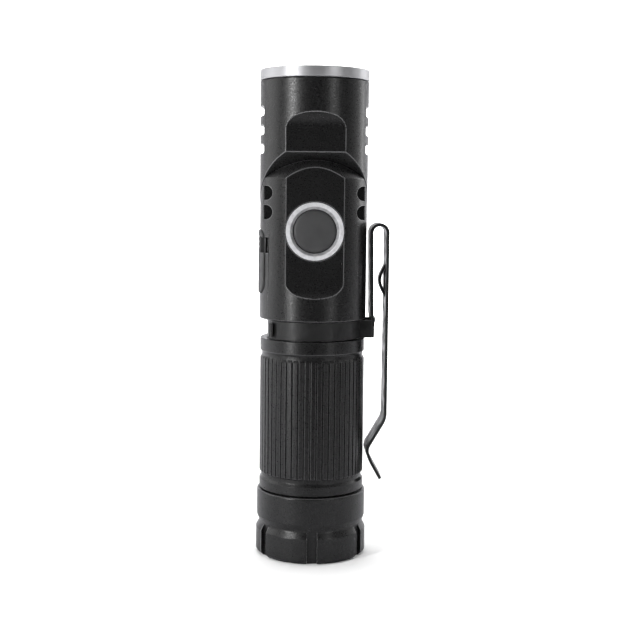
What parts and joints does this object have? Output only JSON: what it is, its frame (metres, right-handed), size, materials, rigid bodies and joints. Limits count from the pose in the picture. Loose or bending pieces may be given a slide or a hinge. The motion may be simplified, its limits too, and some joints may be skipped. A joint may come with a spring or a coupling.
{
  "type": "tactical flashlight",
  "caption": "Pocket torch in black metal with a head that turns on a slanted seam to bend the beam sideways, a front button, a port cover, a spring clip and a screw-off tail cap.",
  "frame": {"origin": "middle of the tail cap's flat end face", "axes": "+Z along the torch towards the beam, -Y the front with the button, +X the clip side, -X the charging port"},
  "size_m": [0.0317, 0.0268, 0.117],
  "materials": {
    "anodised_black": "satin black anodised",
    "bright_metal": "polished bare metal",
    "lens_glass": "clear coated",
    "seal_rubber": "matte",
    "reflector_mirror": "mirror bright",
    "white_plastic": "matte",
    "phosphor": "smooth",
    "board_white": "solder mask",
    "board_green": "solder mask",
    "wire_red": "smooth",
    "wire_black": "smooth",
    "plain_steel": "plain",
    "button_rubber": "satin",
    "component_black": "moulded",
    "brass": "plain",
    "cover_rubber": "satin",
    "cell_wrap": "shrink wrap",
    "spring_steel": "black coated"
  },
  "bodies": {
    "main_body": {"body_housing": "anodised_black", "switch_ring": "bright_metal", "tact_switch": "component_black", "switch_board": "board_green", "driver_board": "board_green", "driver_inductor": "component_black", "charge_chip": "component_black", "driver_ring": "brass", "front_contact": "brass", "usb_port": "plain_steel", "driver_wire_red": "wire_red", "driver_wire_black": "wire_black", "battery_tube": "anodised_black", "tube_oring_front": "seal_rubber", "tube_oring_rear": "seal_rubber", "battery_cell": "cell_wrap", "battery_terminal": "plain_steel", "pivot_bushing": "plain_steel", "pivot_nut": "plain_steel", "pivot_oring": "seal_rubber", "stop_pin": "plain_steel"},
    "head": {"head_housing": "anodised_black", "bezel_ring": "bright_metal", "front_lens": "lens_glass", "lens_oring": "seal_rubber", "reflector": "reflector_mirror", "led_centring_ring": "white_plastic", "led_emitter": "phosphor", "led_board": "board_white", "led_wire_red": "wire_red", "led_wire_black": "wire_black", "pivot_washer": "white_plastic"},
    "button": {"switch_cap": "button_rubber", "switch_plunger": "white_plastic"},
    "cover": {"port_cover": "cover_rubber"},
    "clip": {"clip_ring": "spring_steel"},
    "clip_spring_arm": {"clip_arm": "spring_steel"},
    "tail_carriage": {"tail_spring": "plain_steel"},
    "tail": {"tail_cap": "anodised_black", "tail_magnet": "plain_steel", "tail_contact": "brass"}
  },
  "joints": [
    {"name": "head_twist", "type": "hinge", "parent": "main_body", "child": "head", "pos_m": [0, 0, 0.08625], "axis": [0, -0.7071, -0.7071], "range_deg": [0, 180]},
    {"name": "button_press", "type": "slide", "parent": "main_body", "child": "button", "axis": [0, 1, 0], "range_m": [0, 0.0004], "stiffness_N_per_m": 400},
    {"name": "port_cover_swing", "type": "hinge", "parent": "main_body", "child": "cover", "pos_m": [-0.01305, 0, 0.06395], "axis": [0, -1, 0], "range_deg": [0, 105], "stiffness_Nm_per_rad": 0.002},
    {"name": "clip_swivel", "type": "hinge", "parent": "main_body", "child": "clip", "pos_m": [0, 0, 0.0552], "axis": [0, 0, 1], "range_deg": [-120, 0]},
    {"name": "clip_flex", "type": "hinge", "parent": "clip", "child": "clip_spring_arm", "pos_m": [0.01585, 0, 0.08055], "axis": [0, -1, 0], "range_deg": [0, 6], "stiffness_Nm_per_rad": 3},
    {"name": "tail_cap_travel", "type": "slide", "parent": "main_body", "child": "tail_carriage", "axis": [0, 0, -1], "range_m": [0, 0.0055]},
    {"name": "tail_cap_turn", "type": "hinge", "parent": "tail_carriage", "child": "tail", "pos_m": [0, 0, 0], "axis": [0, 0, -1], "range_deg": [0, 1981]}
  ],
  "couplings": [
    {"joint": "tail_cap_turn", "follows": "tail_cap_travel", "rad_per_m": 6283.2}
  ]
}
